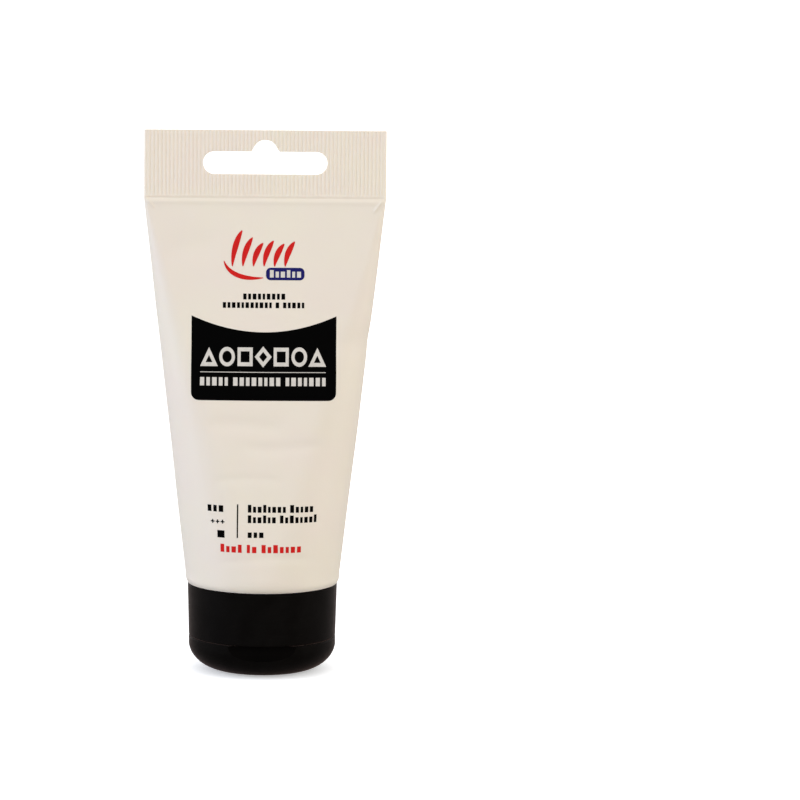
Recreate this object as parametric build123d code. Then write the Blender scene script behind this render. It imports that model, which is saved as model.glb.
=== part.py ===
from build123d import *
import math
import os

# A squeezable plastic paint tube that stands on its flip-top cap.
# Millimetres.  Z points up, the flat end of the lid rests on z = 0, and the
# tube's axis is the Z axis.  The printed front and the thumb recess face -Y,
# and the living hinge is at the back, on +Y.

# ---- driving dimensions -------------------------------------------------
TUBE_DIAMETER = 40.5        # round end of the sleeve, outside
SLEEVE_WALL = 0.5
LID_HEIGHT = 9.0            # from the floor to the parting line
BASE_HEIGHT = 14.0          # fixed part of the cap
BODY_HEIGHT = 101.5         # sleeve from the cap to the crimp
CRIMP_HEIGHT = 17.9         # flat welded band at the top
CAP_TOP_RADIUS = 19.65      # the cap is a little narrower than the sleeve
PARTING_RADIUS = 19.3       # and tapers towards its lid
PARTING_GAP = 0.15
CAP_WALL = 1.4
TUBE_GAP = 0.3              # between the cap's skirt and the sleeve
EDGE = 0.25                 # small chamfer on the cap's outer edges
CAP_REACH = 20.0            # blocks that trim the cap reach this far from its axis

# lid
LID_FLAT_RADIUS = 11.5      # flat that the tube stands on
LID_EDGE_HEIGHT = 4.7       # height of the rounded edge
LID_EDGE_FULLNESS = 0.29    # 0 is a straight chamfer and 0.55 a quarter ellipse
LID_FLOOR = 1.4
SCOOP_RADIUS = 5.45         # thumb recess, a horizontal round cut
SCOOP_AXIS_Y = -22.65
PIN_TIP_RADIUS = 1.5
PIN_ROOT_RADIUS = 2.05
PIN_TOP = 7.2

# cap base
DECK_THICKNESS = 1.4
STEP_RADIUS = 17.5          # raised step that the lid closes over
STEP_HEIGHT = 1.2
NOZZLE_TIP_Z = 5.0
NOZZLE_ROOT_RADIUS = 4.2
NOZZLE_TIP_RADIUS = 3.5
ORIFICE_RADIUS = 2.25
RIB_COUNT = 8
RIB_THICKNESS = 0.9

# living hinge at the back of the cap
HINGE_Y = 18.3              # flat land that holds the hinge films
HINGE_LAND = 1.8            # half the height of the land
HINGE_PAD = 1.5             # thickening behind the land
FILM_THICKNESS = 0.35
FILM_HALF_HEIGHT = 1.0
STRAP_WIDTH = 5.2
BAND_WIDTH = 1.3
BAND_X = 4.4

# screw thread between the neck and the cap
PITCH = 4.0
NECK_RADIUS = 8.7
NECK_BORE = 6.5
RIDGE_HEIGHT = 0.9
RIDGE_WIDTH = 1.3
NECK_TURNS = 1.5
SOCKET_TURNS = 1.25
SOCKET_WALL = 1.45
THREAD_CLEARANCE = 0.15
NECK_MOUTH_Z = 12.1
FOIL_THICKNESS = 0.1
FOIL_RADIUS = 8.4

# shoulder of the tube
SHOULDER_RISE = 2.7
SHOULDER_THICKNESS = 1.3
RIM_HEIGHT = 2.0
FIT = 0.05                  # welded faces, drawn with a hairline between them
FILL_GAP = 0.1              # between the paint and its walls
FILL_HEADSPACE = 4.0        # unfilled length below the crimp

# hanging slot in the crimp
CRIMP_THICKNESS = 1.0
SLOT_WIDTH = 32.5
SLOT_HEIGHT = 6.0
SLOT_ABOVE_CRIMP = 6.3
BUMP_HEIGHT = 3.05
BUMP_BASE = 7.3
BUMP_TOP = 3.6
BUMP_FILLET = 3.0

# ---- heights and radii worked out from them -----------------------------
tube_radius = TUBE_DIAMETER / 2
cap_top = LID_HEIGHT + BASE_HEIGHT
base_bottom = LID_HEIGHT + PARTING_GAP / 2
lid_top = LID_HEIGHT - PARTING_GAP / 2
deck_top = base_bottom + DECK_THICKNESS
sleeve_bottom = cap_top + TUBE_GAP
crimp_bottom = sleeve_bottom + BODY_HEIGHT
crimp_top = crimp_bottom + CRIMP_HEIGHT
taper_bottom = sleeve_bottom + RIM_HEIGHT + 0.5
cavity_top = crimp_bottom - 0.6
crimp_half_width = math.pi * (tube_radius - SLEEVE_WALL / 2) / 2 + SLEEVE_WALL / 2
socket_radius = NECK_RADIUS + RIDGE_HEIGHT + THREAD_CLEARANCE
socket_outer = socket_radius + SOCKET_WALL
socket_top = sleeve_bottom - SHOULDER_RISE - 0.3
step_front_y = SCOOP_AXIS_Y + SCOOP_RADIUS + CAP_WALL + 0.1

# The neck's ridge starts at turn 0, and the socket's ridge runs half a pitch
# above it, so the two ridges never meet while the neck unscrews.
neck_ridge_bottom = NECK_MOUTH_Z + 1.0
socket_ridge_bottom = deck_top + 3.0
offset_in_pitches = (socket_ridge_bottom - neck_ridge_bottom) / PITCH
socket_start_turn = 360 * (offset_in_pitches - 0.5)


def ring(inner, outer, bottom, top):
    """A plain round ring about the Z axis."""
    middle = (bottom + top) / 2
    solid = Cylinder(outer, top - bottom) - Cylinder(inner, 2 * (top - bottom))
    return Pos(0, 0, middle) * solid


def spin(points):
    """A solid turned about the Z axis from a list of (radius, height) corners."""
    outline = Plane.XZ * make_face(Polyline(*points, close=True))
    return revolve(outline, Axis.Z)


def block(x, y, z):
    """A box between two x values, two y values and two z values."""
    centre = [(low + high) / 2 for low, high in (x, y, z)]
    size = [high - low for low, high in (x, y, z)]
    return Pos(*centre) * Box(*size)


def thread_ridge(radius, height, turns, bottom, turn_at_start):
    """One right-hand ridge; height is positive outwards and negative inwards."""
    root = radius - math.copysign(0.3, height)
    path = Helix(pitch=PITCH, height=turns * PITCH, radius=radius)
    half, crest = RIDGE_WIDTH / 2, RIDGE_WIDTH / 4
    section = Polyline(
        (root - radius, -half),
        (root - radius, half),
        (0, half),
        (height, crest),
        (height, -crest),
        (0, -half),
        close=True,
    )
    start = Plane(origin=(radius, 0, 0), x_dir=(1, 0, 0), z_dir=path.tangent_at(0))
    ridge = sweep(start * make_face(section), path=path, is_frenet=True)
    return Pos(0, 0, bottom) * Rot(0, 0, turn_at_start) * ridge


# ---- cap ----------------------------------------------------------------
def lid_body(inset, floor, top):
    """Solid with the lid's outside shape, drawn in by inset, from floor to top."""
    flat = LID_FLAT_RADIUS
    wall = PARTING_RADIUS - inset
    edge_top = LID_EDGE_HEIGHT
    bottom_pull = flat + LID_EDGE_FULLNESS * (wall - flat)
    side_pull = edge_top - LID_EDGE_FULLNESS * (edge_top - floor)
    outline = [
        Line((0, floor), (flat, floor)),
        Bezier((flat, floor), (bottom_pull, floor), (wall, side_pull), (wall, edge_top)),
        Polyline(
            (wall, edge_top),
            (wall, top - EDGE),
            (wall - EDGE, top),
            (0, top),
            (0, floor),
        ),
    ]
    return revolve(Plane.XZ * make_face(outline), Axis.Z)


def scoop(extra):
    """Horizontal cylinder across the front, for the thumb recess."""
    cylinder = Cylinder(SCOOP_RADIUS + extra, 6 * CAP_REACH)
    return Pos(0, SCOOP_AXIS_Y, LID_HEIGHT) * Rot(0, 90, 0) * cylinder


def hinge_land():
    """Everything outside the flat land at the back of the cap."""
    return block(
        (-CAP_REACH, CAP_REACH),
        (HINGE_Y, CAP_REACH + 1),
        (LID_HEIGHT - HINGE_LAND, LID_HEIGHT + HINGE_LAND),
    )


def film(centre_x, width):
    """One thin film across the parting line."""
    return block(
        (centre_x - width / 2, centre_x + width / 2),
        (HINGE_Y - FILM_THICKNESS, HINGE_Y),
        (LID_HEIGHT - FILM_HALF_HEIGHT, LID_HEIGHT + FILM_HALF_HEIGHT),
    )


def hinge_strap():
    return film(0, STRAP_WIDTH)


def hinge_bands():
    return film(-BAND_X, BAND_WIDTH) + film(BAND_X, BAND_WIDTH)


def hinge_pad(bottom, top):
    """Thickening behind the hinge land."""
    half_width = BAND_X + BAND_WIDTH
    return block((-half_width, half_width), (HINGE_Y - HINGE_PAD, HINGE_Y), (bottom, top))


def sealing_pin():
    tip = PIN_TOP - 0.6
    return spin(
        [
            (0, LID_FLOOR / 2),
            (PIN_ROOT_RADIUS + 0.9, LID_FLOOR / 2),
            (PIN_ROOT_RADIUS + 0.2, LID_FLOOR + 1),
            (PIN_ROOT_RADIUS, NOZZLE_TIP_Z),
            (PIN_TIP_RADIUS, tip),
            (PIN_TIP_RADIUS - 0.6, PIN_TOP),
            (0, PIN_TOP),
        ]
    )


def flip_lid():
    outside = lid_body(0, 0, lid_top)
    lid = outside - lid_body(CAP_WALL, LID_FLOOR, lid_top + EDGE)
    lid += outside & scoop(CAP_WALL - 0.2)
    lid += outside & hinge_pad(LID_HEIGHT - HINGE_LAND - CAP_WALL, lid_top)
    lid += sealing_pin()
    lid -= scoop(0)
    lid -= hinge_land()
    return lid - hinge_strap() - hinge_bands()


def orifice():
    """The way out through the nozzle and the deck, with a funnel on its inner side."""
    return spin(
        [
            (0, NOZZLE_TIP_Z - 1),
            (ORIFICE_RADIUS + 0.3, NOZZLE_TIP_Z - 1),
            (ORIFICE_RADIUS + 0.3, NOZZLE_TIP_Z),
            (ORIFICE_RADIUS, NOZZLE_TIP_Z + 0.3),
            (ORIFICE_RADIUS, base_bottom),
            (ORIFICE_RADIUS + 1.6, deck_top + 0.1),
            (0, deck_top + 0.1),
        ]
    )


def nozzle():
    """Spout on the deck, a little wider at its root."""
    spout = spin(
        [
            (0, NOZZLE_TIP_Z),
            (NOZZLE_TIP_RADIUS - 0.4, NOZZLE_TIP_Z),
            (NOZZLE_TIP_RADIUS, NOZZLE_TIP_Z + 0.4),
            (NOZZLE_ROOT_RADIUS, base_bottom),
            (0, base_bottom),
        ]
    )
    return spout - orifice()


def cap_base():
    inner_parting = PARTING_RADIUS - CAP_WALL
    skirt = spin(
        [
            (inner_parting, base_bottom),
            (PARTING_RADIUS - EDGE, base_bottom),
            (PARTING_RADIUS, base_bottom + EDGE),
            (CAP_TOP_RADIUS, cap_top - EDGE),
            (CAP_TOP_RADIUS - EDGE, cap_top),
            (CAP_TOP_RADIUS - CAP_WALL / 2, cap_top),
            (CAP_TOP_RADIUS - CAP_WALL, cap_top - CAP_WALL / 2),
        ]
    )
    deck = ring(0, PARTING_RADIUS - CAP_WALL / 2, base_bottom, deck_top)
    step = ring(STEP_RADIUS - CAP_WALL, STEP_RADIUS, base_bottom - STEP_HEIGHT, base_bottom + 0.1)
    for trim in ((HINGE_Y - HINGE_PAD - 0.3, CAP_REACH), (-CAP_REACH, step_front_y)):
        step -= block((-CAP_REACH, CAP_REACH), trim, (0, base_bottom))
    latch_bead = ring(STEP_RADIUS - 0.5, STEP_RADIUS + 0.2, base_bottom - 0.9, base_bottom - 0.5)
    latch_bead &= block((-CAP_REACH, CAP_REACH), (-10, 0), (0, base_bottom))
    socket = ring(socket_radius, socket_outer, deck_top - 0.1, socket_top)
    seal_bead = ring(7.0, 7.8, deck_top - 0.1, NECK_MOUTH_Z - FOIL_THICKNESS - 0.15)
    base = skirt + deck + step + latch_bead + socket + seal_bead
    for number in range(RIB_COUNT):
        rib = block(
            (socket_outer - 0.2, inner_parting + 0.2),
            (-RIB_THICKNESS / 2, RIB_THICKNESS / 2),
            (deck_top - 0.1, deck_top + 6),
        )
        base += Rot(0, 0, (number + 0.5) * 360 / RIB_COUNT) * rib
    base += hinge_pad(deck_top - 0.1, LID_HEIGHT + HINGE_LAND + CAP_WALL)
    base += thread_ridge(
        socket_radius, FIT - RIDGE_HEIGHT, SOCKET_TURNS, socket_ridge_bottom, socket_start_turn
    )
    base -= orifice()
    base -= hinge_land()
    return base - hinge_strap() - hinge_bands()


# ---- tube ---------------------------------------------------------------
def foil_seal():
    return ring(0, FOIL_RADIUS, NECK_MOUTH_Z - FOIL_THICKNESS, NECK_MOUTH_Z)


def tube_head():
    rim = tube_radius - SLEEVE_WALL - FIT
    neck_top = sleeve_bottom - SHOULDER_RISE
    slope = SHOULDER_RISE / (rim - NECK_RADIUS)
    rim_inner = rim - 1.0
    cone_outer = neck_top + slope * (rim_inner - NECK_RADIUS) + SHOULDER_THICKNESS
    cone_inner = neck_top + slope * (NECK_BORE - NECK_RADIUS) + SHOULDER_THICKNESS
    head = spin(
        [
            (NECK_BORE, NECK_MOUTH_Z),
            (NECK_RADIUS, NECK_MOUTH_Z),
            (NECK_RADIUS, neck_top),
            (rim, sleeve_bottom),
            (rim, sleeve_bottom + RIM_HEIGHT),
            (rim_inner, sleeve_bottom + RIM_HEIGHT),
            (rim_inner, cone_outer),
            (NECK_BORE, cone_inner),
        ]
    )
    return head + thread_ridge(NECK_RADIUS, RIDGE_HEIGHT, NECK_TURNS, neck_ridge_bottom, 0)


def flattened_body(inset, top):
    """Sleeve from its round end to the flat crimp, drawn in by inset.

    Each section is a slot shape: straight sides that grow as the round ends
    shrink, so the way round it never changes, as in a real sleeve.
    """
    round_size = TUBE_DIAMETER - 2 * inset
    flat_size = max(CRIMP_THICKNESS - 2 * inset, 2 * FIT)
    round_section = SlotOverall(round_size + FIT, round_size)
    flat_section = SlotOverall(2 * (crimp_half_width - inset), flat_size)
    return loft([Pos(0, 0, taper_bottom) * round_section, Pos(0, 0, top) * flat_section], ruled=True)


def hang_slot():
    """Straight slot with round ends and a small bump in the middle of its top."""
    slot_bottom = crimp_bottom + SLOT_ABOVE_CRIMP
    slot_top = slot_bottom + SLOT_HEIGHT
    straight = Pos(0, slot_bottom + SLOT_HEIGHT / 2) * SlotOverall(SLOT_WIDTH, SLOT_HEIGHT)
    bump = make_face(
        Polyline(
            (-BUMP_BASE / 2, slot_top - 0.5),
            (-BUMP_BASE / 2, slot_top),
            (-BUMP_TOP / 2, slot_top + BUMP_HEIGHT),
            (BUMP_TOP / 2, slot_top + BUMP_HEIGHT),
            (BUMP_BASE / 2, slot_top),
            (BUMP_BASE / 2, slot_top - 0.5),
            close=True,
        )
    )
    bump = fillet(bump.vertices().group_by(Axis.Y)[-1], BUMP_FILLET)
    outline = Plane.XZ * (straight + bump)
    return extrude(outline, CRIMP_THICKNESS, both=True)


def tube_sleeve():
    round_end = ring(tube_radius - SLEEVE_WALL, tube_radius, sleeve_bottom, taper_bottom)
    body = flattened_body(0, crimp_bottom) - flattened_body(SLEEVE_WALL, cavity_top)
    crimp = block(
        (-crimp_half_width, crimp_half_width),
        (-CRIMP_THICKNESS / 2, CRIMP_THICKNESS / 2),
        (crimp_bottom, crimp_top),
    )
    return round_end + body + crimp - hang_slot()


def paint_fill():
    """Paint in the neck, in the shoulder and in the sleeve up to the headspace."""
    neck = NECK_BORE - FILL_GAP
    shoulder = tube_radius - SLEEVE_WALL - FIT - 1.0 - FILL_GAP
    slope = SHOULDER_RISE / (tube_radius - SLEEVE_WALL - FIT - NECK_RADIUS)
    above_wall = SHOULDER_THICKNESS + FILL_GAP - SHOULDER_RISE + sleeve_bottom
    lower = spin(
        [
            (0, NECK_MOUTH_Z + FILL_GAP),
            (neck, NECK_MOUTH_Z + FILL_GAP),
            (neck, above_wall + slope * (neck - NECK_RADIUS)),
            (shoulder, above_wall + slope * (shoulder - NECK_RADIUS)),
            (shoulder, taper_bottom),
            (0, taper_bottom),
        ]
    )
    upper = flattened_body(SLEEVE_WALL + FILL_GAP, cavity_top)
    wide = 2 * TUBE_DIAMETER
    headspace = block((-wide, wide), (-wide, wide), (crimp_bottom - FILL_HEADSPACE, crimp_top))
    return lower + upper - headspace


# ---- one file for each piece --------------------------------------------
pieces = {
    "flip_lid": flip_lid,
    "hinge_strap": hinge_strap,
    "hinge_bands": hinge_bands,
    "cap_base": cap_base,
    "nozzle": nozzle,
    "foil_seal": foil_seal,
    "tube_head": tube_head,
    "tube_sleeve": tube_sleeve,
    "paint_fill": paint_fill,
}

os.makedirs("parts", exist_ok=True)
for name, make_piece in pieces.items():
    export_step(make_piece(), f"parts/{name}.step")
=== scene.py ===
import math

import bmesh
import bpy
import numpy as np
from mathutils import Matrix, Vector


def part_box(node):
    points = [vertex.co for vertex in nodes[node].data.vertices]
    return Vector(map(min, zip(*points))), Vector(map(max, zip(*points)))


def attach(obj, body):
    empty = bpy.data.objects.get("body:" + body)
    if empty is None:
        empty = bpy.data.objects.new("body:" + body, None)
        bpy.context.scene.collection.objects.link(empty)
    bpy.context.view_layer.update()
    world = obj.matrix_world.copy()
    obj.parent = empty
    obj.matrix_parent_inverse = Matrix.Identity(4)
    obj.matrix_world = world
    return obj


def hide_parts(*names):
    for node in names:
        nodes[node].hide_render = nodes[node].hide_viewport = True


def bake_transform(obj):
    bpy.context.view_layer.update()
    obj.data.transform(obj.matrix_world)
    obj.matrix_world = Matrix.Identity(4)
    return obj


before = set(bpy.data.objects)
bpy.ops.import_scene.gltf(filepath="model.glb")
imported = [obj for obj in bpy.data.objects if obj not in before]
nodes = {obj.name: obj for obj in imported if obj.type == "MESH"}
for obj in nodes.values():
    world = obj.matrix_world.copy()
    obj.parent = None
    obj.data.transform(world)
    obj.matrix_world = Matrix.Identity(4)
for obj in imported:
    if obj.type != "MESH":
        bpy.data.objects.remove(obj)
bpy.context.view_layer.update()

# A squeezable plastic paint tube on its flip-top cap.  Lengths are in
# millimetres unless a comment says otherwise, and the meshes are scaled to
# metres when they are made.
MM = 0.001

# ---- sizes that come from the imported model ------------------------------
sleeve_low, sleeve_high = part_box("tube_sleeve")
strap_low, strap_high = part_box("hinge_strap")
bands_low, bands_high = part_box("hinge_bands")
SLEEVE_BOTTOM = sleeve_low.z / MM
SLEEVE_TOP = sleeve_high.z / MM
TUBE_RADIUS = sleeve_high.y / MM
HALF_WIDTH = sleeve_high.x / MM


# ---- mesh helpers -------------------------------------------------------
def make_object(name, points, faces):
    """A mesh object from points in millimetres."""
    mesh = bpy.data.meshes.new(name)
    mesh.from_pydata([tuple(p) for p in np.asarray(points) * MM], [], faces)
    mesh.validate()
    made = bpy.data.objects.new(name, mesh)
    bpy.context.scene.collection.objects.link(made)
    return made


def shade(made, degrees):
    """Smooth shading, with edges sharper than degrees kept sharp."""
    made.data.polygons.foreach_set("use_smooth", [True] * len(made.data.polygons))
    made.data.set_sharp_from_angle(angle=math.radians(degrees))


def add_boolean(made, name, operation, other):
    """A boolean modifier on one object with another object."""
    modifier = made.modifiers.new(name, "BOOLEAN")
    modifier.operation = operation
    modifier.solver = "EXACT"
    modifier.object = other


def strip(near, far):
    """Faces between two rows of point numbers, triangles where the rows meet."""
    return [tuple(dict.fromkeys(corners)) for corners in zip(near, near[1:], far[1:], far)]


def ring(first, count):
    """Numbers of the points of a closed row, back to the first one."""
    return [first + column % count for column in range(count + 1)]


def wall(first, rows, count):
    """Faces between closed rows of points that lie one above the other."""
    faces = []
    for row in range(rows - 1):
        below = first + row * count
        faces += strip(ring(below, count), ring(below + count, count))
    return faces


def rounded(corners, segments):
    """Outline from (x, z, radius) corners, with each corner rounded."""
    outline = []
    for number, (x, z, radius) in enumerate(corners):
        here = Vector((x, z))
        if radius == 0:
            outline.append((x, z))
            continue
        before = (Vector(corners[number - 1][:2]) - here).normalized()
        after = (Vector(corners[(number + 1) % len(corners)][:2]) - here).normalized()
        half = before.angle(after) / 2
        centre = here + (before + after).normalized() * (radius / math.sin(half))
        start = here + before * (radius / math.tan(half)) - centre
        end = here + after * (radius / math.tan(half)) - centre
        turn = math.atan2(start.x * end.y - start.y * end.x, start.dot(end))
        for share in range(segments + 1):
            arm = Matrix.Rotation(turn * share / segments, 2) @ start
            outline.append(tuple(centre + arm))
    return outline


# ---- shape of the sleeve's skin -----------------------------------------
CRIMP_HEIGHT = 17.9
RIM_HEIGHT = 2.5            # straight round part above the cap
HALF_CRIMP = 0.5            # half the thickness of the welded band
CRIMP_Z = SLEEVE_TOP - CRIMP_HEIGHT
TAPER_Z = SLEEVE_BOTTOM + RIM_HEIGHT
QUARTER = TUBE_RADIUS * math.pi / 2      # a quarter of the way round
LEAST_DEPTH = 0.04          # from the middle plane to the skin or the inside wall

BULGE = 0.9                 # how far the filled faces stand out
ROLL_HEIGHT = 2.0           # rounded lower edge
ROLL_DEPTH = 0.6
ROLL_POWER = 3.0
FACE_EDGE = 0.95            # share of the half width at which the face ends

# slow waves in the film: strength, length across, slant, shift across,
# length along, shift along
WAVES = [
    (1.0, 5.3, 17.0, 0.0, 11.5, 1.3),
    (0.6, 3.1, -23.0, 2.0, 7.3, 0.0),
]
WAVE_DEPTH = 0.08

# shallow dents: height, centre x, half length, depth, half height
DENTS = [
    (66.5, -5.0, 12.0, 0.22, 1.9),
    (61.0, 5.0, 13.0, 0.20, 1.5),
    (52.5, -4.0, 11.0, 0.16, 0.8),
    (32.0, 0.5, 14.0, 0.16, 0.9),
    (88.0, 22.0, 9.0, 0.22, 3.0),
    (112.0, -19.0, 8.0, 0.24, 3.5),
]
DENT_SWAY = 0.5             # a dent isn't quite straight
DENT_SWAY_LENGTH = 4.5

# small folds at the upper corners: x and z of both ends, height
FOLDS = [
    (28.4, 121.4, 30.6, 124.3, 0.30),
    (-29.0, 122.2, -30.7, 124.4, 0.18),
]
FOLD_HALF_WIDTH = 0.35
FOLD_RISE = (-0.1, 0.2)     # shares of a fold's length over which it rises
FOLD_FALL = (0.95, 1.15)    # and falls again

# marks of the welding jaw, with heights above the foot of the welded band
RIB_COUNT = 126             # fine ribs, all the way round
RIB_DEPTH = 0.2
RIB_START = 0.5
RIB_FULL = 1.1
LIP = 0.14                  # film squeezed out below the jaw
LIP_HEIGHT = -0.9
LIP_HALF_WIDTH = 0.6
GROOVE = 0.2                # pressed line at the foot of the band
GROOVE_HEIGHT = 0.1
GROOVE_HALF_WIDTH = 0.3


def bell(distance):
    """A smooth bump, 1 at distance 0 and almost 0 beyond 2."""
    return np.exp(-distance * distance)


def step(value, start, end):
    """A smooth step from 0 at start to 1 at end."""
    share = np.clip((value - start) / (end - start), 0, 1)
    return share * share * (3 - 2 * share)


def waves(x, z):
    """Slow waves in the film, with a height of about 1."""
    return sum(
        strength * np.sin(x / across + z / slant + shift) * np.sin(z / along + rise)
        for strength, across, slant, shift, along, rise in WAVES
    )


def dents(x, z):
    """How deep the dents are."""
    depths = 0.0
    for dent_z, dent_x, half_length, depth, half_height in DENTS:
        aside = z - dent_z - DENT_SWAY * np.sin(x / DENT_SWAY_LENGTH + dent_z)
        ends = step(np.abs(x - dent_x), half_length, half_length / 2)
        depths = depths + depth * ends * bell(aside / half_height)
    return depths


def folds(x, z):
    """How high the folds are."""
    heights = 0.0
    for x1, z1, x2, z2, height in FOLDS:
        run, rise = x2 - x1, z2 - z1
        length = math.hypot(run, rise)
        along = ((x - x1) * run + (z - z1) * rise) / length ** 2
        aside = ((x - x1) * rise - (z - z1) * run) / length
        ends = step(along, *FOLD_RISE) * (1 - step(along, *FOLD_FALL))
        heights = heights + height * ends * bell(aside / FOLD_HALF_WIDTH)
    return heights


def jaw_marks(height, around):
    """Lip, pressed line and ribs, height above the foot of the welded band."""
    marks = LIP * bell((height - LIP_HEIGHT) / LIP_HALF_WIDTH)
    marks = marks - GROOVE * bell((height - GROOVE_HEIGHT) / GROOVE_HALF_WIDTH)
    ribs = 0.5 - 0.5 * np.cos(2 * math.pi * around * RIB_COUNT)
    return marks - RIB_DEPTH * step(height, RIB_START, RIB_FULL) * ribs ** 2


def relief(x, z, around, share, width):
    """How far the skin stands out from the plain tapered shape.

    around is a share of the whole way round, share that of the way up from
    the round rim to the crimp, and width half the width of the section.
    """
    across = np.clip(np.abs(x) / width, 0, 1)
    body = np.sin(math.pi * share)
    height = BULGE * body * (1 - across ** 2) ** 2
    height = height + WAVE_DEPTH * body * waves(x, z) - dents(x, z) + folds(x, z)
    height = height + step(across, 1, FACE_EDGE) * jaw_marks(z - CRIMP_Z, around)
    above = np.clip((z - SLEEVE_BOTTOM) / ROLL_HEIGHT, 0, 1)
    return height - ROLL_DEPTH * (1 - above) ** ROLL_POWER


def skin(u, z, lift=0.0):
    """Points of the sleeve's outside.

    u is the way round from the middle of the front and z the height.  Every
    section is a slot shape whose straight sides grow as its round ends
    shrink, so the way round stays the same up to the flat crimp.
    """
    u, z = np.broadcast_arrays(np.asarray(u, float), np.asarray(z, float))
    share = np.clip((z - TAPER_Z) / (CRIMP_Z - TAPER_Z), 0, 1)
    radius = TUBE_RADIUS + share * (HALF_CRIMP - TUBE_RADIUS)
    flat = share * (HALF_WIDTH - HALF_CRIMP)
    front = np.abs(u) <= QUARTER
    side = np.where(front, np.abs(u), 2 * QUARTER - np.abs(u)) / QUARTER
    run = side * (flat + radius * math.pi / 2)
    angle = np.clip((run - flat) / radius, 0, math.pi / 2)
    x = np.sign(u) * (np.minimum(run, flat) + radius * np.sin(angle))
    y = -radius * np.cos(angle)
    out = relief(x, z, u / (4 * QUARTER), share, flat + radius)
    out = np.maximum(out + lift, LEAST_DEPTH - radius)
    x = x + np.sign(u) * out * np.sin(angle)
    y = np.where(front, 1, -1) * (y - out * np.cos(angle))
    return np.stack([x, y, z], axis=-1)


# ---- sleeve mesh --------------------------------------------------------
WALL = 0.5
CAVITY_TOP = CRIMP_Z - 0.6
COLUMNS_PER_RIB = 6
COLUMNS = RIB_COUNT * COLUMNS_PER_RIB
ROLL_ROWS = 8
INNER_GAP = 4.0

# gaps between the rows of the outside, up to each height
ROW_GAPS = [
    (120.0, 0.8),
    (CRIMP_Z - 1.8, 0.4),
    (CRIMP_Z + 1.2, 0.2),
    (SLEEVE_TOP, 1.4),
]


def spaced(start, stop, gap):
    """Heights from start up to, but without, stop."""
    count = max(1, round((stop - start) / gap))
    return [start + (stop - start) * number / count for number in range(count)]


def outer_heights():
    """Heights of the outside's rows, closer together where it has more relief."""
    turns = [math.pi / 2 * number / ROLL_ROWS for number in range(ROLL_ROWS)]
    rows = [SLEEVE_BOTTOM + ROLL_HEIGHT * (1 - math.cos(turn)) for turn in turns]
    start = SLEEVE_BOTTOM + ROLL_HEIGHT
    for stop, gap in ROW_GAPS:
        rows += spaced(start, stop, gap)
        start = stop
    return rows + [SLEEVE_TOP]


def shell_faces(first, rows):
    """Faces of rows of the sleeve, whose top row is closed from front to back."""
    last = first + (rows - 1) * COLUMNS
    quarter = COLUMNS // 4
    front = [last + quarter + number for number in range(2 * quarter + 1)]
    back = [last + (quarter - number) % COLUMNS for number in range(2 * quarter + 1)]
    return wall(first, rows, COLUMNS) + strip(front, back)


def sleeve_mesh():
    """Closed mesh: outside, cut upper edge, inside wall and lower edge."""
    u = (np.arange(COLUMNS) / COLUMNS * 4 - 2) * QUARTER
    outer = outer_heights()
    inner = spaced(SLEEVE_BOTTOM, CAVITY_TOP, INNER_GAP) + [CAVITY_TOP]
    outside = skin(u[None, :], np.array(outer)[:, None])
    inside = skin(u[None, :], np.array(inner)[:, None], -WALL)
    # only the outside is rolled in at the lower edge
    inside[0, :, :2] *= (TUBE_RADIUS - WALL) / np.hypot(inside[0, :, 0], inside[0, :, 1])[:, None]
    points = np.concatenate([outside.reshape(-1, 3), inside.reshape(-1, 3)])
    first_inside = len(outer) * COLUMNS
    faces = shell_faces(0, len(outer))
    faces += [face[::-1] for face in shell_faces(first_inside, len(inner))]
    faces += strip(ring(first_inside, COLUMNS), ring(0, COLUMNS))
    return points, faces


SLOT_HALF_WIDTH = 16.25
SLOT_HEIGHT = 6.0
SLOT_LOW = CRIMP_Z + 6.3
SLOT_HIGH = SLOT_LOW + SLOT_HEIGHT
SLOT_ROUND = SLOT_HEIGHT / 2 - 0.01      # a hair less, so that the arcs stay apart
SLOT_SEGMENTS = 16
BUMP_BASE = 3.65
BUMP_TOP = 1.8
BUMP_HIGH = SLOT_HIGH + 3.05
BUMP_ROUND = 3.0
SLOT_CORNERS = [
    (-SLOT_HALF_WIDTH, SLOT_LOW, SLOT_ROUND),
    (SLOT_HALF_WIDTH, SLOT_LOW, SLOT_ROUND),
    (SLOT_HALF_WIDTH, SLOT_HIGH, SLOT_ROUND),
    (BUMP_BASE, SLOT_HIGH, 0),
    (BUMP_TOP, BUMP_HIGH, BUMP_ROUND),
    (-BUMP_TOP, BUMP_HIGH, BUMP_ROUND),
    (-BUMP_BASE, SLOT_HIGH, 0),
    (-SLOT_HALF_WIDTH, SLOT_HIGH, SLOT_ROUND),
]
CUTTER_REACH = 3.0          # well past both faces of the crimp


def cut_slot(made):
    """Cuts the hanging slot through the crimp."""
    outline = rounded(SLOT_CORNERS, SLOT_SEGMENTS)
    count = len(outline)
    points = [(x, y, z) for y in (CUTTER_REACH, -CUTTER_REACH) for x, z in outline]
    ends = [tuple(range(count))[::-1], tuple(range(count, 2 * count))]
    cutter = make_object("slot_cutter", points, wall(0, 2, count) + ends)
    add_boolean(made, "slot", "DIFFERENCE", cutter)
    evaluated = made.evaluated_get(bpy.context.evaluated_depsgraph_get())
    cut = bpy.data.meshes.new_from_object(evaluated)
    made.modifiers.clear()
    made.data = cut
    bpy.data.objects.remove(cutter)


sleeve = make_object("printed_sleeve", *sleeve_mesh())
cut_slot(sleeve)
shade(sleeve, degrees=50)


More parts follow.
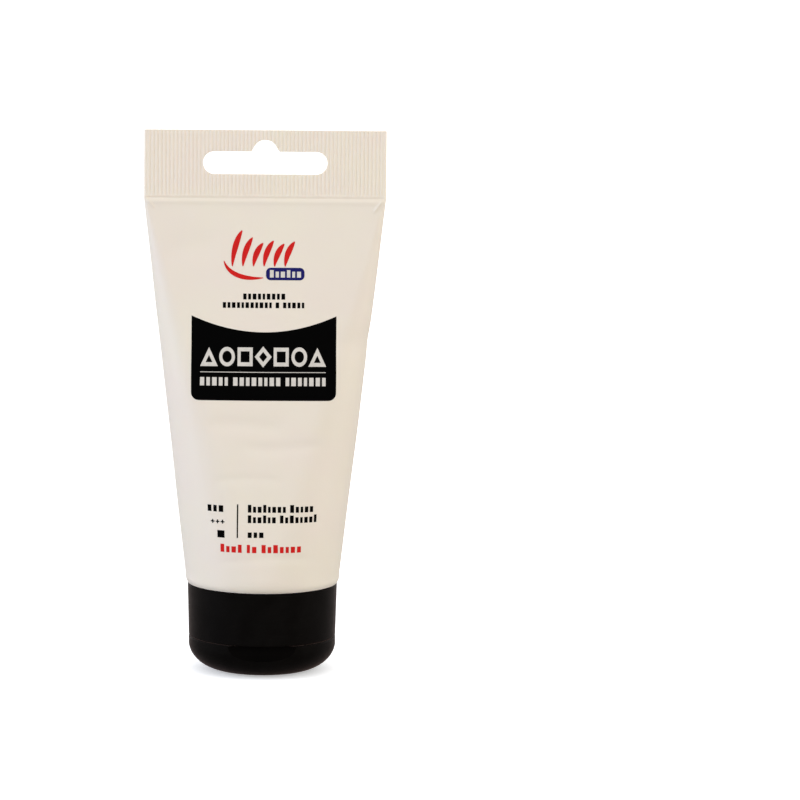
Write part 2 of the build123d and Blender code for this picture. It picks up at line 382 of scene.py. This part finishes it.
# ---- print films --------------------------------------------------------
CELL = 0.5                  # films are cut into cells so that they follow the skin
JOIN_DISTANCE = 1e-4        # points nearer than this are one
CUT_DISTANCE = 1e-5         # points nearer than this to a cut are on it
FILM_DEPTH = 0.03           # below the skin
FIRST_LIFT = 0.025
SECOND_LIFT = 0.045
THIRD_LIFT = 0.065


def flat_cells(outlines):
    """Points and faces of polygons in (u, z), joined at shared edges and cut into cells."""
    work = bmesh.new()
    for outline in outlines:
        work.faces.new([work.verts.new((u, 0, z)) for u, z in outline])
    bmesh.ops.remove_doubles(work, verts=work.verts, dist=JOIN_DISTANCE)
    bmesh.ops.triangulate(work, faces=work.faces)
    for direction in (Vector((1, 0, 0)), Vector((0, 0, 1))):
        places = [v.co.dot(direction) for v in work.verts]
        for number in range(math.ceil(min(places) / CELL), math.ceil(max(places) / CELL)):
            bmesh.ops.bisect_plane(
                work,
                geom=work.verts[:] + work.edges[:] + work.faces[:],
                plane_co=direction * (number * CELL),
                plane_no=direction,
                dist=CUT_DISTANCE,
            )
    bmesh.ops.recalc_face_normals(work, faces=work.faces)
    work.verts.index_update()
    points = np.array([v.co for v in work.verts])
    faces = []
    for face in work.faces:
        corners = [v.index for v in face.verts]
        faces.append(corners if face.normal.y < 0 else corners[::-1])
    work.free()
    return points, faces


def print_film(name, outlines, lift):
    """A thin closed film over the front of the sleeve, from polygons in (u, z)."""
    flat, faces = flat_cells(outlines)
    count = len(flat)
    edges = {(a, b) for face in faces for a, b in zip(face, face[1:] + face[:1])}
    walls = [(b, a, a + count, b + count) for a, b in edges if (b, a) not in edges]
    under = [tuple(v + count for v in reversed(face)) for face in faces]
    top = skin(flat[:, 0], flat[:, 2], lift)
    bottom = skin(flat[:, 0], flat[:, 2], -FILM_DEPTH)
    made = make_object(name, np.concatenate([top, bottom]), faces + under + walls)
    shade(made, degrees=40)
    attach(made, "tube")
    return made


# ---- outlines of the prints, in (u, z) ----------------------------------
LETTER_WIDTHS = (1.0, 0.85, 1.1, 0.9, 0.75, 1.05)
LETTER_GAP = 0.5
WORD_GAP = 0.75
TALL_EVERY, TALL_PLACE = 5, 3            # besides the first letter of each word
ROUND_SIDES = 32                         # a mark with so many sides looks round
MARK_NARROWING = 0.82


def box_outline(left, right, low, high):
    """Corners of a plain box, from the lower left one round to the upper left."""
    return [(left, low), (right, low), (right, high), (left, high)]


def round_box(left, right, low, high, radius):
    """A box with rounded corners."""
    corners = [(x, z, radius) for x, z in box_outline(left, right, low, high)]
    return rounded(corners, segments=8)


def blocks(words, left, right, low, high, small):
    """A row of plain blocks, one for each letter of words of these lengths.

    small is the height of most blocks as a share of the tallest.
    """
    spans, at, number = [], 0.0, 0
    for length in words:
        for place in range(length):
            width = LETTER_WIDTHS[number % len(LETTER_WIDTHS)]
            tall = place == 0 or number % TALL_EVERY == TALL_PLACE
            spans.append((at, at + width, 1.0 if tall else small))
            at += width + LETTER_GAP
            number += 1
        at += WORD_GAP
    scale = (right - left) / (at - WORD_GAP - LETTER_GAP)
    return [
        box_outline(left + start * scale, left + end * scale, low, low + (high - low) * share)
        for start, end, share in spans
    ]


def mark(sides, turn, centre, size, stroke):
    """Outline of a regular shape, made narrower, as a ring of quads."""
    half = math.pi / sides
    inner = size - stroke / math.cos(half)
    quads = []
    for number in range(sides):
        start = math.radians(turn) + 2 * half * number
        end = start + 2 * half
        corners = [(size, start), (size, end), (inner, end), (inner, start)]
        quads.append(
            [
                (centre[0] + MARK_NARROWING * r * math.cos(a), centre[1] + r * math.sin(a))
                for r, a in corners
            ]
        )
    return quads


def plus(x, z, size, stroke):
    """A plus sign from three boxes that share edges."""
    return [
        box_outline(x - size, x - stroke, z - stroke, z + stroke),
        box_outline(x + stroke, x + size, z - stroke, z + stroke),
        [
            (x - stroke, z - size), (x + stroke, z - size), (x + stroke, z - stroke),
            (x + stroke, z + stroke), (x + stroke, z + size), (x - stroke, z + size),
            (x - stroke, z + stroke), (x - stroke, z - stroke),
        ],
    ]


BRUSH_SEGMENTS = 28
BRUSH_TIP = 0.12            # width of a stroke's tips, as a share of the middle's
BRUSH_POWER = 0.8           # below 1, a stroke is full for most of its length


def brush(start, pull_1, pull_2, end, width):
    """A brush stroke along a curve, thin at both ends, as quads."""
    path = [Vector(p) for p in (start, pull_1, pull_2, end)]
    left, right = [], []
    for number in range(BRUSH_SEGMENTS + 1):
        t = number / BRUSH_SEGMENTS
        # a cubic curve, as shares of its four points, and its direction
        weights = ((1 - t) ** 3, 3 * t * (1 - t) ** 2, 3 * t * t * (1 - t), t ** 3)
        slopes = (-(1 - t) ** 2, (1 - t) * (1 - 3 * t), t * (2 - 3 * t), t * t)
        point = sum((p * w for p, w in zip(path, weights)), Vector((0, 0)))
        along = sum((p * w for p, w in zip(path, slopes)), Vector((0, 0))).normalized()
        fullness = BRUSH_TIP + (1 - BRUSH_TIP) * math.sin(math.pi * t) ** BRUSH_POWER
        aside = Vector((-along.y, along.x)) * (width / 2 * fullness)
        left.append(tuple(point + aside))
        right.append(tuple(point - aside))
    return [list(corners) for corners in zip(right, right[1:], left[1:], left)]


PANEL_LEFT, PANEL_RIGHT = -18.9, 18.8
PANEL_LOW, PANEL_HIGH = 73.0, 94.7
PANEL_ROUND = 1.9           # of the lower corners
PANEL_DIP = 4.15            # how far the upper edge sags in the middle
PANEL_SEGMENTS = 40


def panel_outline():
    """Dark panel with a hollow upper edge and rounded lower corners."""
    outline = round_box(PANEL_LEFT, PANEL_RIGHT, PANEL_LOW, PANEL_HIGH, PANEL_ROUND)
    outline = [(x, z) for x, z in outline if z < (PANEL_LOW + PANEL_HIGH) / 2]
    # the lower corners run from left to right, so the upper edge runs back
    for number in range(PANEL_SEGMENTS + 1):
        across = 1 - 2 * number / PANEL_SEGMENTS
        x = (PANEL_LEFT + PANEL_RIGHT) / 2 + across * (PANEL_RIGHT - PANEL_LEFT) / 2
        outline.append((x, PANEL_HIGH - PANEL_DIP * (1 - across ** 2)))
    return outline


# a plain ornament: leaning leaves, tall at first, with a long stroke below them
LEAVES_LEFT, LEAVES_LOW = -8.4, 107.4
LEAF_HEIGHTS = (9.2, 7.4, 6.0, 6.6, 5.8, 6.4)
LEAF_PITCH = 2.75
LEAF_LEAN = 2.5
LEAF_WIDTH = 1.5
# along a leaf: share of its lean and of its height
LEAF_BEND = [(0.0, 0.0), (0.08, 0.45), (0.55, 0.8), (1.0, 1.0)]
TAIL_PATH = [(-10.6, 108.8), (-9.4, 105.0), (-5.0, 104.0), (-0.3, 104.5)]
TAIL_WIDTH = 1.2


def leaves():
    """Leaf-shaped strokes side by side, that bend to the right."""
    strokes = []
    for number, height in enumerate(LEAF_HEIGHTS):
        foot = LEAVES_LEFT + number * LEAF_PITCH
        path = [(foot + lean * LEAF_LEAN, LEAVES_LOW + up * height) for lean, up in LEAF_BEND]
        strokes += brush(*path, LEAF_WIDTH)
    return strokes


# rows of blocks: letters in each word, left, right, low, high, share of small letters
BLACK_ROWS = [
    ((9,), -5.5, 5.4, 98.95, 100.45, 1.0),
    ((11, 1, 5), -10.8, 10.4, 96.75, 98.2, 1.0),
    ((3,), -14.7, -10.3, 44.3, 46.0, 1.0),
    ((8, 5), -3.9, 13.2, 44.3, 46.3, 0.76),
    ((6, 8), -3.9, 14.3, 41.6, 43.6, 0.76),
    ((3,), -3.9, 0.2, 37.8, 39.2, 1.0),
]
RED_ROW = ((4, 2, 7), -11.2, 10.1, 33.9, 36.0, 0.76)
PANEL_ROW = ((5, 8, 7), -16.6, 16.1, 76.8, 78.95, 1.0)
TAG_ROW = ((6,), 1.4, 9.5, 104.6, 106.5, 0.8)

PLUS_PLACES = [(-13.3, 41.75), (-11.9, 41.75), (-10.5, 41.75)]
PLUS_SIZE = 0.52
PLUS_STROKE = 0.16
# left, right, low and high of plain boxes
SQUARE = (-12.0, -10.0, 37.6, 39.5)
UPRIGHT_LINE = (-6.75, -6.4, 37.7, 46.4)
PANEL_LINE = (-16.6, 16.1, 80.2, 80.37)
TAG = (0.4, 10.4, 103.9, 107.1)
TAG_ROUND = 1.2

# marks in a row on the panel: sides, turn, size, height of the centre
MARKS = [
    (3, 90, 3.25, 83.4),
    (ROUND_SIDES, 0, 2.5, 84.25),
    (4, 45, 3.4, 84.25),
    (4, 0, 2.7, 84.25),
    (4, 45, 3.4, 84.25),
    (ROUND_SIDES, 0, 2.5, 84.25),
    (3, 90, 3.25, 83.4),
]
MARKS_LEFT, MARKS_RIGHT = -14.3, 13.9
MARK_STROKE = 1.0


def black_outlines():
    """Everything in black ink, apart from the panel."""
    outlines = [box_outline(*SQUARE), box_outline(*UPRIGHT_LINE)]
    for row in BLACK_ROWS:
        outlines += blocks(*row)
    for x, z in PLUS_PLACES:
        outlines += plus(x, z, PLUS_SIZE, PLUS_STROKE)
    return outlines


def grey_outlines():
    """The marks, the line and the row of blocks on the panel."""
    outlines = [box_outline(*PANEL_LINE)] + blocks(*PANEL_ROW)
    pitch = (MARKS_RIGHT - MARKS_LEFT) / (len(MARKS) - 1)
    for number, (sides, turn, size, z) in enumerate(MARKS):
        outlines += mark(sides, turn, (MARKS_LEFT + number * pitch, z), size, MARK_STROKE)
    return outlines


panel = print_film("print_panel", [panel_outline()], FIRST_LIFT)
black_print = print_film("print_black_marks", black_outlines(), FIRST_LIFT)
red_leaves = print_film("print_red_leaves", leaves(), FIRST_LIFT)
red_tail = print_film("print_red_tail", brush(*TAIL_PATH, TAIL_WIDTH), FIRST_LIFT)
red_print = print_film("print_red_marks", blocks(*RED_ROW), FIRST_LIFT)
navy_print = print_film("print_navy_tag", [round_box(*TAG, TAG_ROUND)], SECOND_LIFT)
grey_print = print_film("print_grey_marks", grey_outlines(), SECOND_LIFT)
tag_print = print_film("print_tag_marks", blocks(*TAG_ROW), THIRD_LIFT)


# ---- hinge films --------------------------------------------------------
FILM_ROWS, FILM_COLUMNS = 24, 6
FILM_GROOVE = 0.12          # how much thinner a film is in its middle
BAND_WIDTH = 1.3


def hinge_film(name, spans, low, high, replaced):
    """Thin bending strips across the parting line, thinnest in the middle."""
    wide = FILM_COLUMNS + 1
    shares = np.linspace(0, 1, wide)
    points, faces = [], []
    for left, right in spans:
        first = len(points)
        front_x = left + (right - left) * shares
        for row in range(FILM_ROWS + 1):
            share = row / FILM_ROWS
            z = (low.z + (high.z - low.z) * share) / MM
            front_y = low.y / MM + FILM_GROOVE * math.sin(math.pi * share) ** 2
            points += [(x, front_y, z) for x in front_x]
            points += [(x, high.y / MM, z) for x in front_x[::-1]]
        faces += wall(first, FILM_ROWS + 1, 2 * wide)
        last = first + FILM_ROWS * 2 * wide
        for base, flip in ((first, True), (last, False)):
            front = list(range(base, base + wide))
            back = list(range(base + wide, base + 2 * wide))[::-1]
            closing = strip(front, back)
            faces += [face[::-1] for face in closing] if flip else closing
    made = make_object(name, points, faces)
    shade(made, degrees=40)
    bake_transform(made)
    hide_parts(replaced)
    return made


strap_span = (strap_low.x / MM, strap_high.x / MM)
strap = hinge_film("hinge_strap_film", [strap_span], strap_low, strap_high, "hinge_strap")
bands_left, bands_right = bands_low.x / MM, bands_high.x / MM
band_spans = [(bands_left, bands_left + BAND_WIDTH), (bands_right - BAND_WIDTH, bands_right)]
bands = hinge_film("hinge_band_films", band_spans, bands_low, bands_high, "hinge_bands")


# ---- lid ----------------------------------------------------------------
EDGE_FOOT = 9.8             # radius at which the rounded edge leaves the flat foot
EDGE_SIDE = 19.35           # radius of the form, a hair outside the lid's side
EDGE_HEIGHT = 7.5           # height at which the rounded edge meets the side
FORM_LOW, FORM_HIGH = -0.5, 10.0
FORM_ROWS, FORM_COLUMNS = 40, 288
WELD_DISTANCE = 1e-6        # in metres
CRISP_ANGLE = math.radians(35)
SCOOP_RADIUS = 5.45         # thumb recess, a round cut across the lid
SCOOP_AXIS = (0, -22.65, 9.0)


def edge_form():
    """Solid of revolution with a quarter ellipse as its lower edge."""
    profile = [(EDGE_FOOT, FORM_LOW)]
    for row in range(FORM_ROWS + 1):
        angle = math.pi / 2 * row / FORM_ROWS
        across = EDGE_FOOT + (EDGE_SIDE - EDGE_FOOT) * math.sin(angle)
        profile.append((across, EDGE_HEIGHT * (1 - math.cos(angle))))
    profile.append((EDGE_SIDE, FORM_HIGH))
    turns = [2 * math.pi * column / FORM_COLUMNS for column in range(FORM_COLUMNS)]
    points = [(r * math.cos(a), r * math.sin(a), z) for r, z in profile for a in turns]
    last = (len(profile) - 1) * FORM_COLUMNS
    bottom = tuple(range(FORM_COLUMNS))[::-1]
    top = tuple(range(last, last + FORM_COLUMNS))
    faces = wall(0, len(profile), FORM_COLUMNS) + [bottom, top]
    return make_object("lid_edge_form", points, faces)


def round_lid():
    """Trims the lid to the rounded form."""
    form = edge_form()
    form.hide_render = True
    form.hide_viewport = True
    shade(form, degrees=40)
    lid = nodes["flip_lid"]
    lid.modifiers.new("joined_edges", "WELD").merge_threshold = WELD_DISTANCE
    add_boolean(lid, "rounded_edge", "INTERSECT", form)
    lid.modifiers.new("crisp_edges", "EDGE_SPLIT").split_angle = CRISP_ANGLE


round_lid()


# ---- material helpers ---------------------------------------------------
COLOUR_NOISE = (0.35, 0.65)              # between these the noise does its work
ROUGHNESS_NOISE = (0.3, 0.7)
# painted light on the welded band: colour as a share of the sleeve's, and the heights between
# which it comes in
CRIMP_PAINTED_LIGHT = 1.08
CRIMP_LIGHT_FADE = (CRIMP_Z - 0.3, CRIMP_Z + 0.5)
# painted shade in the lid's thumb recess: colour as a share of the lid's, and the distances from
# the recess's axis over which it fades
RECESS_PAINTED_SHADE = 0.05
RECESS_SHADE_FADE = (SCOOP_RADIUS + 0.05, SCOOP_RADIUS + 0.12)


def set_inputs(node, values):
    """Plain values on some inputs of a node, by name or number."""
    for socket, value in values.items():
        node.inputs[socket].default_value = value


def add_node(tree, kind, values=None):
    """A new shader node, with plain values on some of its inputs."""
    node = tree.nodes.new("ShaderNode" + kind)
    set_inputs(node, values or {})
    return node


def map_range(tree, source, old, new):
    """An output that goes over the new range as source goes over the old one."""
    values = {"From Min": old[0], "From Max": old[1], "To Min": new[0], "To Max": new[1]}
    node = add_node(tree, "MapRange", values)
    tree.links.new(source, node.inputs["Value"])
    return node.outputs["Result"]


def material(name, tints, roughness, spot, grain, bump, sockets):
    """A material whose colour, roughness and fine relief come from noise.

    tints are the two colours that the surface wanders between, roughness its
    lowest and highest value, spot the size of its patches, grain that of its
    fine relief and bump the relief's depth, and sockets the plain values of
    the shader.
    """
    made = bpy.data.materials.new(name)
    made.use_nodes = True
    tree = made.node_tree
    shader = tree.nodes["Principled BSDF"]
    set_inputs(shader, sockets)
    place = add_node(tree, "TexCoord")

    def noise(size, detail):
        node = add_node(tree, "TexNoise", {"Scale": 1 / (size * MM), "Detail": detail})
        tree.links.new(place.outputs["Object"], node.inputs["Vector"])
        return node.outputs["Fac"]

    ramp = add_node(tree, "ValToRGB")
    for element, position, tint in zip(ramp.color_ramp.elements, COLOUR_NOISE, tints):
        element.position = position
        element.color = (*tint, 1)
    tree.links.new(noise(spot, detail=3), ramp.inputs["Fac"])
    tree.links.new(ramp.outputs["Color"], shader.inputs["Base Color"])

    spread = map_range(tree, noise(spot / 3, detail=4), ROUGHNESS_NOISE, roughness)
    tree.links.new(spread, shader.inputs["Roughness"])

    surface = add_node(tree, "Bump", {"Distance": bump * MM, "Strength": 1.0})
    tree.links.new(noise(grain, detail=2), surface.inputs["Height"])
    tree.links.new(surface.outputs["Normal"], shader.inputs["Normal"])
    return made


def paint_light_or_shade(surface, measure, fade, brightness):
    """Paints light or shade into the colour of a material along a measured length.

    measure is a node's output in metres, fade the two lengths between which
    the colour changes and brightness its brightness at each of them.
    """
    tree = surface.node_tree
    shader = tree.nodes["Principled BSDF"]
    colour = shader.inputs["Base Color"].links[0].from_socket
    share = map_range(tree, measure, [length * MM for length in fade], brightness)
    scaled = add_node(tree, "HueSaturation")
    tree.links.new(share, scaled.inputs["Value"])
    tree.links.new(colour, scaled.inputs["Color"])
    tree.links.new(scaled.outputs["Color"], shader.inputs["Base Color"])


def paint_crimp_light(surface):
    """Painted light: the welded band gets a lighter colour, which offsets the shade between its
    ribs.
    """
    tree = surface.node_tree
    place = add_node(tree, "TexCoord")
    parts = add_node(tree, "SeparateXYZ")
    tree.links.new(place.outputs["Object"], parts.inputs["Vector"])
    paint_light_or_shade(surface, parts.outputs["Z"], CRIMP_LIGHT_FADE, (1.0, CRIMP_PAINTED_LIGHT))


def paint_recess_shade(surface):
    """Painted shade: the lid's thumb recess gets a darker colour than the rest of it."""
    tree = surface.node_tree
    place = add_node(tree, "TexCoord")

    def vector_maths(operation, source, values=(0, 0, 0)):
        node = add_node(tree, "VectorMath", {1: values})
        node.operation = operation
        tree.links.new(source, node.inputs[0])
        return node.outputs

    axis = [value * MM for value in SCOOP_AXIS]
    from_axis = vector_maths("SUBTRACT", place.outputs["Object"], axis)
    across = vector_maths("MULTIPLY", from_axis["Vector"], (0, 1, 1))
    distance = vector_maths("LENGTH", across["Vector"])
    paint_light_or_shade(surface, distance["Value"], RECESS_SHADE_FADE, (RECESS_PAINTED_SHADE, 1.0))


# ---- materials ----------------------------------------------------------
def milky_plastic():
    """Thin milky film that lets a little light in, wandering towards pink."""
    made = material(
        "milky_sleeve",
        tints=((0.785, 0.714, 0.594), (0.785, 0.698, 0.6)),
        roughness=(0.36, 0.46),
        spot=18,
        grain=0.5,
        bump=0.012,
        sockets={
            "Subsurface Weight": 0.2,
            "Subsurface Scale": 0.6 * MM,
            "Subsurface Radius": (1.0, 0.85, 0.7),
            "Specular IOR Level": 0.35,
            "IOR": 1.5,
        },
    )
    # painted light on the welded band
    paint_crimp_light(made)
    return made


def black_plastic(name):
    """Black moulded plastic with a warm sheen along its edges."""
    return material(
        name,
        tints=((0.0018, 0.0016, 0.0014), (0.0032, 0.0029, 0.0026)),
        roughness=(0.38, 0.48),
        spot=6,
        grain=0.16,
        bump=0.006,
        sockets={
            "Specular IOR Level": 0.03,
            "Specular Tint": (1.0, 0.86, 0.79, 1.0),
            "Sheen Weight": 0.14,
            "Sheen Roughness": 0.3,
            "Sheen Tint": (1.0, 0.66, 0.58, 1.0),
            "IOR": 1.5,
        },
    )


INK_MOTTLE = (0.94, 1.06)                # darkest and lightest, as shares of the tint


def ink(name, tint, specular):
    """Printed ink: nearly even, with a faint mottle and the sleeve's gloss."""
    return material(
        name,
        tints=[[min(1.0, channel * share) for channel in tint] for share in INK_MOTTLE],
        roughness=(0.34, 0.44),
        spot=1.5,
        grain=0.5,
        bump=0.004,
        sockets={"Specular IOR Level": specular},
    )


milky = milky_plastic()
cap_plastic = black_plastic("black_cap_plastic")
# the lid gets its own material, which carries the painted shade of its recess
lid_plastic_painted_shade = black_plastic("black_lid_with_painted_shade")
paint_recess_shade(lid_plastic_painted_shade)
head_plastic = material(
    "white_head_plastic",
    tints=((0.78, 0.77, 0.73), (0.83, 0.82, 0.79)),
    roughness=(0.35, 0.45),
    spot=8,
    grain=0.3,
    bump=0.01,
    sockets={"Subsurface Weight": 0.2, "Subsurface Scale": 0.8 * MM, "IOR": 1.5},
)
foil_metal = material(
    "seal_foil",
    tints=((0.72, 0.72, 0.74), (0.82, 0.82, 0.83)),
    roughness=(0.28, 0.4),
    spot=2,
    grain=0.6,
    bump=0.03,
    sockets={"Metallic": 1.0},
)
wet_paint = material(
    "white_paint",
    tints=((0.80, 0.77, 0.70), (0.84, 0.81, 0.75)),
    roughness=(0.12, 0.2),
    spot=5,
    grain=3.0,
    bump=0.15,
    sockets={"Subsurface Weight": 0.1, "Subsurface Scale": 0.5 * MM, "IOR": 1.45},
)
black_ink = ink("black_ink", (0.0011, 0.0010, 0.0010), specular=0.01)
grey_ink = ink("grey_ink", (0.62, 0.58, 0.52), specular=0.3)
red_ink = ink("red_ink", (0.58, 0.008, 0.006), specular=0.12)
navy_ink = ink("navy_ink", (0.006, 0.006, 0.105), specular=0.1)


def finish_piece(made, surface):
    """Gives a piece its material."""
    made.data.materials.clear()
    made.data.materials.append(surface)


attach(sleeve, "tube")
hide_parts("tube_sleeve")
finish_piece(sleeve, milky)
for piece in (strap, bands):
    finish_piece(piece, cap_plastic)
for piece in (panel, black_print):
    finish_piece(piece, black_ink)
for piece in (red_leaves, red_tail, red_print):
    finish_piece(piece, red_ink)
for piece in (grey_print, tag_print):
    finish_piece(piece, grey_ink)
finish_piece(navy_print, navy_ink)

CAD_FINISHES = {
    "flip_lid": lid_plastic_painted_shade,
    "cap_base": cap_plastic,
    "nozzle": cap_plastic,
    "foil_seal": foil_metal,
    "tube_head": head_plastic,
    "paint_fill": wet_paint,
}
for name, surface in CAD_FINISHES.items():
    for slot in nodes[name].material_slots:
        slot.material = surface


# ---- camera, with lengths in metres -------------------------------------
VIEW_DISTANCE = 2.0
VIEW_ELEVATION = math.radians(8.65)
VIEW_CENTRE = Vector((0, 0, 0.072))
AIM = Vector((0.0358, 0, 0.0717))        # the tube stands left of the middle
ROLL = math.radians(0.56)
SENSOR = 36.0
LENS = 342.8


def make_camera():
    """A long lens from slightly above, rolled a little to one side."""
    data = bpy.data.cameras.new("camera")
    data.sensor_width = SENSOR
    data.lens = LENS
    data.clip_start = 0.05
    data.clip_end = 50
    camera = bpy.data.objects.new("camera", data)
    bpy.context.scene.collection.objects.link(camera)
    back = Vector((0, -math.cos(VIEW_ELEVATION), math.sin(VIEW_ELEVATION)))
    camera.location = VIEW_CENTRE + back * VIEW_DISTANCE
    facing = (AIM - camera.location).to_track_quat("-Z", "Y").to_matrix()
    camera.rotation_euler = (facing @ Matrix.Rotation(ROLL, 3, "Z")).to_euler()
    bpy.context.scene.camera = camera


make_camera()


# ---- floor and light ----------------------------------------------------
FLOOR_REACH = 6000          # from the middle to each edge, in millimetres
WHITE = (1, 1, 1, 1)
FLOOR_PALE = (0.95, 0.95, 0.95, 1)
FLOOR_DIM = (0.42, 0.41, 0.40, 1)
HORIZON_LIGHT = 1.34
OVERHEAD_LIGHT = 0.84


def seen_or_lighting(tree, seen, lighting, output):
    """One shader for what the camera sees and another for the light that it sends."""
    rays = add_node(tree, "LightPath")
    mixer = add_node(tree, "MixShader")
    tree.links.new(rays.outputs["Is Camera Ray"], mixer.inputs["Fac"])
    tree.links.new(lighting, mixer.inputs[1])
    tree.links.new(seen, mixer.inputs[2])
    tree.links.new(mixer.outputs["Shader"], output.inputs["Surface"])


def floor_material():
    """The floor looks pale, but it throws little light back up."""
    made = bpy.data.materials.new("pale_floor")
    made.use_nodes = True
    tree = made.node_tree
    pale = tree.nodes["Principled BSDF"]
    set_inputs(
        pale,
        {
            "Base Color": FLOOR_PALE,
            "Roughness": 0.9,
            "Specular IOR Level": 0.0,
            "Emission Color": WHITE,
            "Emission Strength": 0.4,
        },
    )
    dim = add_node(tree, "BsdfDiffuse", {"Color": FLOOR_DIM})
    output = tree.nodes["Material Output"]
    seen_or_lighting(tree, pale.outputs["BSDF"], dim.outputs["BSDF"], output)
    return made


def make_floor():
    """A plain square that is much larger than the tube."""
    corners = [(-1, -1), (1, -1), (1, 1), (-1, 1)]
    points = [(x * FLOOR_REACH, y * FLOOR_REACH, 0) for x, y in corners]
    floor = make_object("floor", points, [(0, 1, 2, 3)])
    floor.data.materials.append(floor_material())


def light_room():
    """A white backdrop, and a room that is brightest at the horizon and dimmer overhead."""
    world = bpy.data.worlds.new("studio")
    bpy.context.scene.world = world
    world.use_nodes = True
    tree = world.node_tree
    tree.nodes.clear()
    sky = add_node(tree, "TexCoord")
    heights = add_node(tree, "SeparateXYZ")
    room = add_node(tree, "Background", {"Color": WHITE})
    tree.links.new(sky.outputs["Generated"], heights.inputs["Vector"])
    strength = map_range(tree, heights.outputs["Z"], (0.0, 1.0), (HORIZON_LIGHT, OVERHEAD_LIGHT))
    tree.links.new(strength, room.inputs["Strength"])
    backdrop = add_node(tree, "Background", {"Color": WHITE, "Strength": 1.0})
    output = add_node(tree, "OutputWorld")
    seen_or_lighting(tree, backdrop.outputs["Background"], room.outputs["Background"], output)


def soft_light(name, place, size, power, tint):
    """A rectangular lamp, with its place and size in metres, turned to the tube."""
    data = bpy.data.lights.new(name, "AREA")
    data.shape = "RECTANGLE"
    data.size, data.size_y = size
    data.energy = power
    data.color = tint
    lamp = bpy.data.objects.new(name, data)
    bpy.context.scene.collection.objects.link(lamp)
    lamp.location = place
    lamp.rotation_euler = (VIEW_CENTRE - Vector(place)).to_track_quat("-Z", "Y").to_euler()


bpy.context.scene.view_settings.view_transform = "Standard"
make_floor()
light_room()
soft_light("left_box", (-0.95, -0.25, 0.22), size=(0.5, 0.7), power=5.6, tint=(0.56, 0.68, 0.95))
soft_light("right_box", (0.85, -0.30, 0.30), size=(0.5, 0.7), power=2.2, tint=(1.0, 0.95, 0.9))
soft_light("top_box", (0, 0, 0.9), size=(0.8, 0.6), power=0.3, tint=(1.0, 1.0, 1.0))
